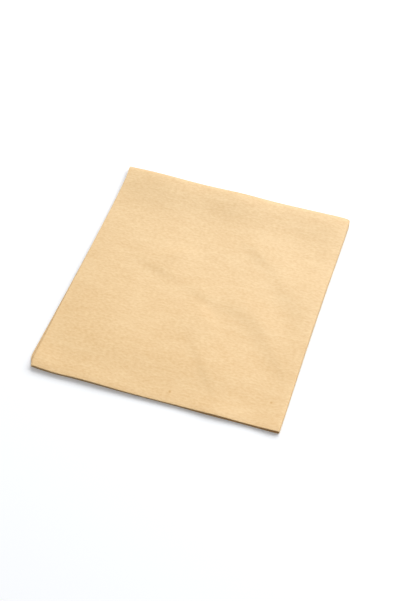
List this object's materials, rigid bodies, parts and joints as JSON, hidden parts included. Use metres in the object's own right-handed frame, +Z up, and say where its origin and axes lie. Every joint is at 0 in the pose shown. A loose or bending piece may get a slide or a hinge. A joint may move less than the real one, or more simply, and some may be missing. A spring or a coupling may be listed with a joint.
{
  "type": "cleaning cloth",
  "caption": "Soft napped tan cloth for wiping glass, cross-folded and lying flat; its upper half swings open about the side fold.",
  "frame": {"origin": "on the surface that the folded cloth lies on, under the middle of the folded cloth", "axes": "+Z up; +X along the open front edges towards the side fold; +Y from the open front edges towards the back fold"},
  "size_m": [0.2006, 0.225, 0.0065],
  "materials": {
    "cloth": "soft brushed nap, matt"
  },
  "bodies": {
    "lower_half": {"bottom_panel": "cloth", "lower_inner_panel": "cloth", "lower_back_fold": "cloth", "outer_side_fold_lower": "cloth", "inner_side_fold_lower": "cloth", "corner_fold_lower": "cloth"},
    "upper_half": {"top_panel": "cloth", "upper_inner_panel": "cloth", "upper_back_fold": "cloth", "outer_side_fold_upper": "cloth", "inner_side_fold_upper": "cloth", "corner_fold_upper": "cloth"}
  },
  "joints": [
    {"name": "side_fold_hinge", "type": "hinge", "parent": "lower_half", "child": "upper_half", "pos_m": [0.10031, 0, 0.00325], "axis": [0, 1, 0], "range_deg": [0, 180]}
  ]
}
